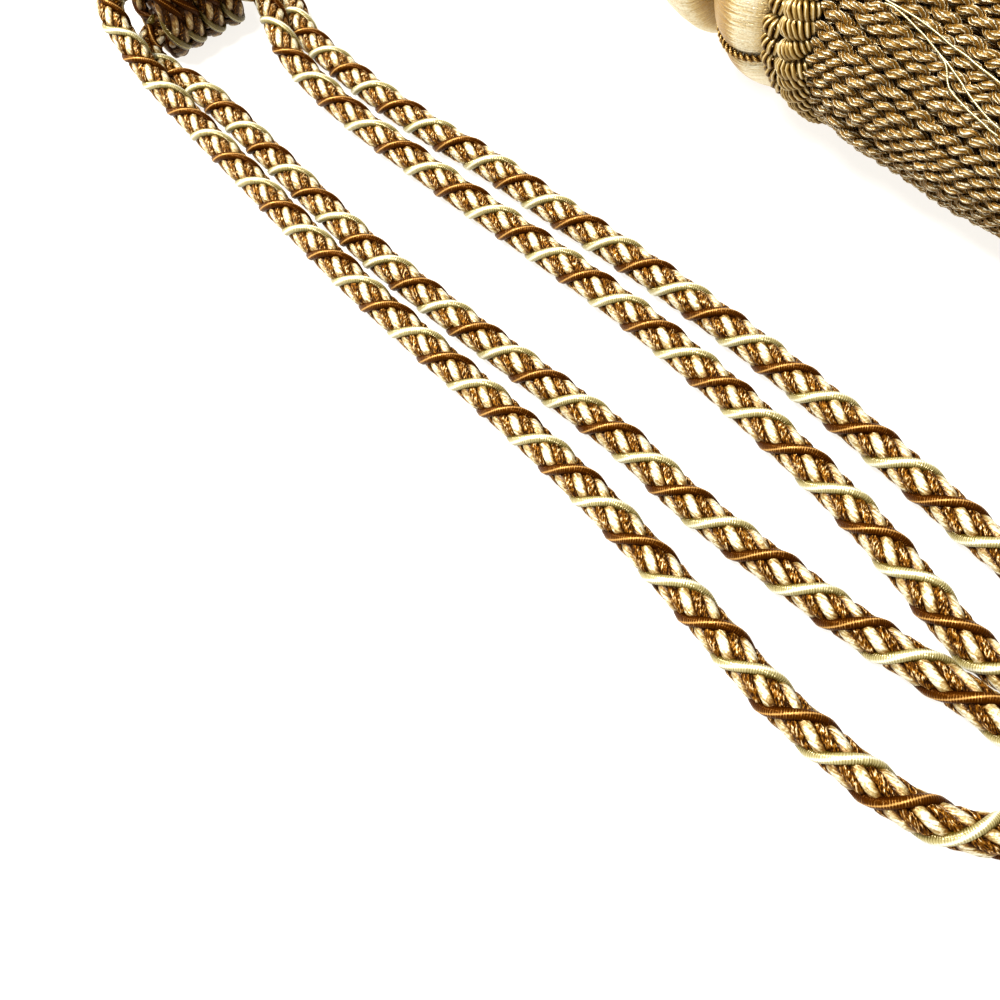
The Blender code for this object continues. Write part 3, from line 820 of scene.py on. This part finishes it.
def crease_distance(point):
    """How far a point lies from the nearest crease of the bell, round the bell."""
    angle = math.atan2(point.z - TASSEL_Z, TASSEL_Y - point.y)
    lobe = TAU / BELL_LOBES
    turn = (angle - CREASE_PHASE) / lobe
    return abs(turn - round(turn)) * lobe * BELL_RADIUS


def make_bell(satin):
    """Bell spun from its profile, then pressed in along its creases, narrower each time."""
    profile = [(BELL_START, 0.0100)]
    for k in range(23):
        x = BELL_START + (BELL_END - BELL_START) * k / 22
        profile.append((x, bell_radius(x)))
    profile.append((BELL_END, 0.0200))
    bell = spin_profile("satin_bell", profile, HEAD_STEPS * 2, satin)
    for width, depth in CREASE_PASSES:
        deselect_all()
        bell.select_set(True)
        bpy.context.view_layer.objects.active = bell
        for vertex in bell.data.vertices:
            vertex.select = crease_distance(vertex.co) < width and bell_edge(vertex.co)
        for edge in bell.data.edges:
            edge.select = all(bell.data.vertices[v].select for v in edge.vertices)
        for face in bell.data.polygons:
            face.select = all(bell.data.vertices[v].select for v in face.vertices)
        bpy.ops.object.mode_set(mode="EDIT")
        bpy.ops.transform.shrink_fatten(value=-depth)
        bpy.ops.object.mode_set(mode="OBJECT")
    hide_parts("head_bell")


def bell_edge(point):
    return BELL_START + 0.0005 < point.x < BELL_END - 0.0005


def twisted_pair(skein, points, outs, radius, pitch, finishes):
    """Two plies twisted right-handed round a line of points."""
    for k, finish in enumerate(finishes):
        centres, ply_outs = [], []
        length = 0.0
        for i, point in enumerate(points):
            if i:
                length += (point - points[i - 1]).length
            tangent = (points[min(i + 1, len(points) - 1)] - points[max(i - 1, 0)]).normalized()
            side = (outs[i] - tangent * outs[i].dot(tangent)).normalized()
            turn = TAU * (k / len(finishes) + length / pitch)
            out = side * math.cos(turn) + tangent.cross(side) * math.sin(turn)
            centres.append(point + out * radius)
            ply_outs.append(out)
        skein.tube(centres, ply_outs, round_section(radius * 1.05, 6), finish)


def make_head_gimps():
    """Two-ply gimps laid in the bell's creases, and the ring on the neck."""
    for index in range(BELL_LOBES):
        angle = CREASE_PHASE + TAU * index / BELL_LOBES
        out = radial(angle)
        points = []
        for k in range(CREASE_GIMP_POINTS):
            x = CREASE_GIMP_START + CREASE_GIMP_SPAN * k / (CREASE_GIMP_POINTS - 1)
            points.append(Vector((x, TASSEL_Y, TASSEL_Z))
                          + out * (bell_radius(x) - CREASE_GIMP_SINK))
        skein = Skein(20 + index)
        twisted_pair(skein, points, [out] * CREASE_GIMP_POINTS, CREASE_GIMP_RADIUS,
                     CREASE_GIMP_PITCH, (1, 1))
        gimp = skein.piece(f"crease_gimp_{index + 1}", [ROPE_FINISHES[BRONZE_GIMP], GOLD_GIMP])
        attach(gimp, "root")
        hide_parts(f"bell_gimp_{index + 1}")
    skein = Skein(30)
    middle = (DOME_END + BELL_START) / 2
    for k in range(NECK_GIMP_PLIES):
        centres, outs = [], []
        for i in range(NECK_GIMP_STEPS):
            angle = TAU * i / NECK_GIMP_STEPS
            out = radial(angle)
            turn = TAU * (k / NECK_GIMP_PLIES + NECK_GIMP_TWISTS * i / NECK_GIMP_STEPS)
            lean = out * math.cos(turn) + Vector((1.0, 0.0, 0.0)) * math.sin(turn)
            centres.append(Vector((middle, TASSEL_Y, TASSEL_Z)) + out * NECK_GIMP_REACH
                           + lean * NECK_GIMP_PLY_REACH)
            outs.append(lean)
        skein.tube(centres, outs, round_section(NECK_GIMP_RADIUS, 6), 0 if k else 1,
                   closed=True)
    ring = skein.piece("neck_ring", [ROPE_FINISHES[BRONZE_GIMP], ROPE_FINISHES[GOLD_STRAND]])
    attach(ring, "root")
    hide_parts("neck_gimp")


# ---------------------------------------------------------------- ruff and skirt

def wind_puff(skein, ridge, outs, radius, thread):
    """Wind one puff's thread closely round its ridge, thinner towards both ends."""
    lengths = running_lengths(ridge)
    windings = max(3, round(lengths[-1] / (2 * thread)))
    total = windings * PUFF_PARTS
    centres, reaches = [], []
    k = 0
    for i in range(total + 1):
        length = lengths[-1] * i / total
        while k < len(lengths) - 2 and lengths[k + 1] < length:
            k += 1
        part = (length - lengths[k]) / (lengths[k + 1] - lengths[k])
        point = ridge[k].lerp(ridge[k + 1], part)
        tangent = (ridge[k + 1] - ridge[k]).normalized()
        side = outs[k].lerp(outs[k + 1], part)
        side = (side - tangent * side.dot(tangent)).normalized()
        turn = TAU * i / PUFF_PARTS
        out = side * math.cos(turn) + tangent.cross(side) * math.sin(turn)
        swell = math.sin(math.pi * (0.10 + 0.80 * i / total)) ** 0.65
        swell *= 1.0 + 0.05 * math.sin(1.9 * i / PUFF_PARTS + skein.chance.random() * 0.4)
        centres.append(point + out * (radius * swell))
        reaches.append(out)
    skein.tube(centres, reaches, round_section(thread, 6, thread * 1.30), 0)


def puff_column(skein, middle, half_width, base, reach, radius, thread, lean, phase):
    """A ring of puffs side by side, each arched over the ruff's side and leaning along it."""
    spacing = TAU / RUFF_PUFFS
    for puff in range(RUFF_PUFFS):
        chance = skein.chance
        ridge, outs = [], []
        start = spacing * (puff + phase) + chance.uniform(-0.024, 0.024)
        tilt = lean * (1 + chance.uniform(-0.5, 0.5))
        grown = radius * chance.uniform(0.88, 1.07)
        for k in range(13):
            arc = math.pi * (0.06 + 0.88 * k / 12)
            x = middle - half_width * math.cos(arc)
            lift = math.sin(arc)
            angle = start + tilt * (x - middle) / base
            out = radial(angle)
            ridge.append(Vector((x, TASSEL_Y, TASSEL_Z)) + out * (base + reach * lift))
            outs.append(out * lift - Vector((math.cos(arc), 0.0, 0.0)))
        wind_puff(skein, ridge, outs, grown, thread)


def make_ruff(thread_finish):
    """Looped ruff: a column of small puffs beside the bell and one of fat puffs at the skirt."""
    skein = Skein(40)
    for column in PUFF_COLUMNS:
        puff_column(skein, *column)
    ruff = skein.piece("looped_ruff", [thread_finish])
    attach(ruff, "root")
    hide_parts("ruff")


def skirt_girth(share):
    for (s0, g0), (s1, g1) in zip(SKIRT_SHAPE, SKIRT_SHAPE[1:]):
        if share <= s1:
            part = (share - s0) / (s1 - s0)
            return g0 + (g1 - g0) * part * part * (3 - 2 * part)
    return SKIRT_SHAPE[-1][1]


def bullion_line(radius, angle, length, floor, steps, chance, wander):
    """Middle line of one bullion cord and its outward directions, resting on what is below."""
    waves = [(chance.uniform(0.6, 1.6), chance.random(), chance.uniform(-1, 1)) for _ in range(3)]
    points, outs = [], []
    for i in range(steps + 1):
        share = i / steps
        turned = angle - SKIRT_TWIST * share * min(1.0, 0.4 + 2.0 * share)
        out = radial(turned)
        around = Vector((0.0, math.sin(turned), math.cos(turned)))
        girth = skirt_girth(share)
        drop = SKIRT_SAG * min(1.0, 2.5 * share)
        drop += SKIRT_SETTLE * min(1.0, 3.0 * share) * max(0.0, -math.sin(turned))
        sway = sum(size * math.sin(TAU * (rate * share * 1.5 + phase))
                   for rate, phase, size in waves)
        lift = sum(size * math.sin(TAU * (rate * share * 2 + 2 * phase))
                   for rate, phase, size in waves)
        fade = min(1.0, share * 5)
        point = Vector((SKIRT_ROOT + length * share, TASSEL_Y, TASSEL_Z - drop))
        point += out * (radius * girth + lift * wander * 0.25 * fade)
        point += around * (sway * wander * 0.5 * fade)
        point.z = max(point.z, floor)
        points.append(point)
        outs.append(out)
    return points, outs


def twist_cord(skein, points, outs, ply, pitch, start, sides=7):
    """Two plies twisted left-handed along the points, drawn together at the free end."""
    last = len(points) - 1
    rates = [(skein.chance.uniform(2, 9), skein.chance.random()) for _ in range(3)]
    slips = [sum(CORD_SLIP * math.sin(TAU * (rate * i / last + phase)) for rate, phase in rates)
             for i in range(last + 1)]
    for k in range(2):
        centres, ply_outs, scales = [], [], []
        length = 0.0
        for i, point in enumerate(points):
            if i:
                length += (point - points[i - 1]).length
            turn = start + math.pi * k - TAU * length / pitch + slips[i]
            side = Vector((1.0, 0.0, 0.0)).cross(outs[i])
            out = outs[i] * math.cos(turn) + side * math.sin(turn)
            closing = max(0.0, 1.0 - (last - i) / 3)
            centres.append(point + out * (ply * 0.97 * (1.0 - 0.5 * closing)))
            ply_outs.append(out)
            scales.append((1.0 - 0.55 * closing) * skein.chance.uniform(0.90, 1.10))
        skein.tube(centres, ply_outs, round_section(ply, sides, ply * 1.06), 0, scales=scales)


def cord_length(chance, shortfall):
    """Length of one bullion cord, a little short of the skirt's."""
    fixed, most = shortfall
    return SKIRT_END - SKIRT_ROOT - fixed - most * chance.random()


def make_skirt(bullion, shaded_bullion):
    """Outer ring of twisted cords, a second ring behind its gaps, and plain cords inside."""
    chance = random.Random(11)
    outer = Skein(50)
    for k in range(SKIRT_CORDS):
        angle = TAU * (k + chance.uniform(-0.10, 0.10)) / SKIRT_CORDS
        length = cord_length(chance, OUTER_SHORTFALL)
        points, outs = bullion_line(SKIRT_CORD_REACH, angle, length, OUTER_FLOOR, OUTER_STEPS,
                                    chance, OUTER_WANDER)
        twist_cord(outer, points, outs, SKIRT_PLY, SKIRT_PLY_PITCH,
                   TAU * chance.uniform(-0.14, 0.14))
    skirt = outer.piece("bullion_skirt", [bullion])
    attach(skirt, "root")
    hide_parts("skirt")
    inner = Skein(51)
    for k in range(SKIRT_CORDS):
        angle = TAU * (k + 0.5 + chance.uniform(-0.15, 0.15)) / SKIRT_CORDS
        length = cord_length(chance, SECOND_SHORTFALL)
        points, outs = bullion_line(SKIRT_CORD_REACH - SECOND_RING_INSET, angle, length,
                                    SECOND_FLOOR, SECOND_STEPS, chance, SECOND_WANDER)
        twist_cord(inner, points, outs, SKIRT_PLY, SKIRT_PLY_PITCH, TAU * chance.random(), 6)
    for radius, count, floor in FILLING_RINGS:
        for k in range(count):
            angle = TAU * (k + chance.uniform(-0.15, 0.15)) / count
            length = cord_length(chance, FILLING_SHORTFALL)
            points, outs = bullion_line(radius, angle, length, floor, FILLING_STEPS, chance,
                                        FILLING_WANDER)
            scales = [1.0] * FILLING_STEPS + [0.6]
            inner.tube(points, outs, round_section(FILLING_RADIUS, 6), 0, scales=scales)
    filling = inner.piece("inner_bullion", [shaded_bullion])
    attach(filling, "root")


def skirt_cover(x, surface):
    """How far a surface over the skirt has dropped at x, and its reach there."""
    share = min(max((x - SKIRT_ROOT) / (SKIRT_END - SKIRT_ROOT), 0.0), 1.0)
    reach, lift = surface
    return SKIRT_SAG * min(1.0, 2.5 * share), reach * skirt_girth(share) + lift


def skirt_place(across, down):
    """Place along X and turn round the axis, in degrees, of what the camera sees on the skirt."""
    focal = FRAME * CAMERA_LENS / CAMERA_SENSOR
    # Two planes hold the line of sight, and it runs across both of their normals.
    upright = Vector(CAMERA_RIGHT) * focal - Vector(CAMERA_FORWARD) * (across - FRAME / 2)
    level = Vector(CAMERA_DOWN) * focal - Vector(CAMERA_FORWARD) * (down - FRAME / 2)
    sight = upright.cross(level).normalized()
    travelled = 0.0
    for _ in range(SIGHT_STEPS):
        x, y, z = Vector(CAMERA_PLACE) + sight * travelled
        drop, reach = skirt_cover(x, STRAY_READ)
        outward, upward = TASSEL_Y - y, z - TASSEL_Z + drop
        travelled += math.hypot(outward, upward) - reach
    return round(x, 4), round(math.degrees(math.atan2(upward, outward)), 1)


def make_stray_threads(thread_finish):
    """Loose cream threads that lie over the skirt."""
    skein = Skein(60)
    for route in STRAY_THREADS:
        points = []
        for across, down in route:
            x, turn = skirt_place(across, down)
            drop, reach = skirt_cover(x, STRAY_LAID)
            points.append(Vector((x, TASSEL_Y, TASSEL_Z - drop))
                          + radial(math.radians(turn)) * reach)
        line = smooth_route(points, STRAY_STEP)
        up = [Vector((0.0, -0.5, 0.8))] * len(line)
        skein.tube(line, up, round_section(STRAY_RADIUS, 5), 0)
    threads = skein.piece("stray_threads", [thread_finish])
    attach(threads, "root")


# ---------------------------------------------------------------- camera, light and floor

LAMP_TINT = (1.0, 0.97, 0.92)
FLOOR_SIZE = 14.0


def set_camera():
    eye = bpy.data.cameras.new("eye")
    eye.lens = CAMERA_LENS
    eye.sensor_width = CAMERA_SENSOR
    eye.clip_start = 0.01
    camera = bpy.data.objects.new("eye", eye)
    axes = Matrix((Vector(CAMERA_RIGHT), -Vector(CAMERA_DOWN), -Vector(CAMERA_FORWARD)))
    place = axes.transposed().to_4x4()
    place.translation = CAMERA_PLACE
    camera.matrix_world = place
    bpy.context.scene.collection.objects.link(camera)
    bpy.context.scene.camera = camera


def softbox(name, place, target, size, power):
    lamp = bpy.data.lights.new(name, "AREA")
    lamp.shape = "DISK"
    lamp.size = size
    lamp.energy = power
    lamp.color = LAMP_TINT
    made = bpy.data.objects.new(name, lamp)
    made.location = place
    made.rotation_euler = (Vector(target) - Vector(place)).to_track_quat("-Z", "Y").to_euler()
    bpy.context.scene.collection.objects.link(made)


def set_light():
    softbox("key", (-0.95, -0.50, 1.20), (0.03, 0.0, 0.0), 0.42, 35.0)
    softbox("second", (0.24, -0.52, 1.45), (0.05, 0.0, 0.0), 0.30, 24.0)
    world = bpy.data.worlds.new("room")
    world.use_nodes = True
    backdrop = world.node_tree.nodes["Background"]
    backdrop.inputs["Color"].default_value = (1.0, 0.98, 0.95, 1.0)
    backdrop.inputs["Strength"].default_value = 0.42
    bpy.context.scene.world = world
    bpy.context.scene.view_settings.view_transform = "Standard"
    bpy.context.scene.view_settings.look = "Medium High Contrast"


def set_floor():
    deselect_all()
    bpy.ops.mesh.primitive_plane_add(size=FLOOR_SIZE, location=(0.0, 0.0, 0.0))
    floor = bpy.context.active_object
    floor.name = "floor"
    shader = Shader("pale_floor")
    floor.data.materials.append(shader.finish(
        Base_Color=(0.25, 0.25, 0.25, 1.0), Roughness=0.8, Specular_IOR_Level=0.0,
        Emission_Color=(*LAMP_TINT, 1.0), Emission_Strength=0.75))


GOLD_GIMP = gimp_finish("gold_gimp", (0.085, 0.036, 0.004), (0.27, 0.150, 0.030),
                        (0.60, 0.42, 0.17), (1.0, 0.80, 0.52))
ROPE_FINISHES = rope_finishes("", 0.0)
# The rope's finishes made darker by painted shade, for the knot.
SHADED_KNOT_FINISHES = rope_finishes("knot_", KNOT_SHADE)
SATIN = satin_finish()
RUFF_THREAD = ruff_finish()
BULLION = bullion_finish("bullion", BULLION_THREADS, BULLION_LEAN, 0.0)
# The bullion finish made darker by painted shade, for the cords inside the skirt.
SHADED_BULLION = bullion_finish("shaded_bullion", BULLION_THREADS, BULLION_LEAN,
                              DEEP_BULLION_SHADE)
set_camera()
set_light()
set_floor()
rope_piece("front_arm", FRONT_ARM_ROUTE, shifted(FRONT_ARM_LAPS),
           1)
rope_piece("back_arm", BACK_ARM_ROUTE, shifted(BACK_ARM_LAPS), 2)
rope_piece("hanging_rope", HANGER_ROUTE, HANGER_LAPS, 3)
knot_pieces()
make_dome(SATIN)
make_bell(SATIN)
make_head_gimps()
make_ruff(RUFF_THREAD)
make_skirt(BULLION, SHADED_BULLION)
make_stray_threads(ROPE_FINISHES[CREAM_GIMP])
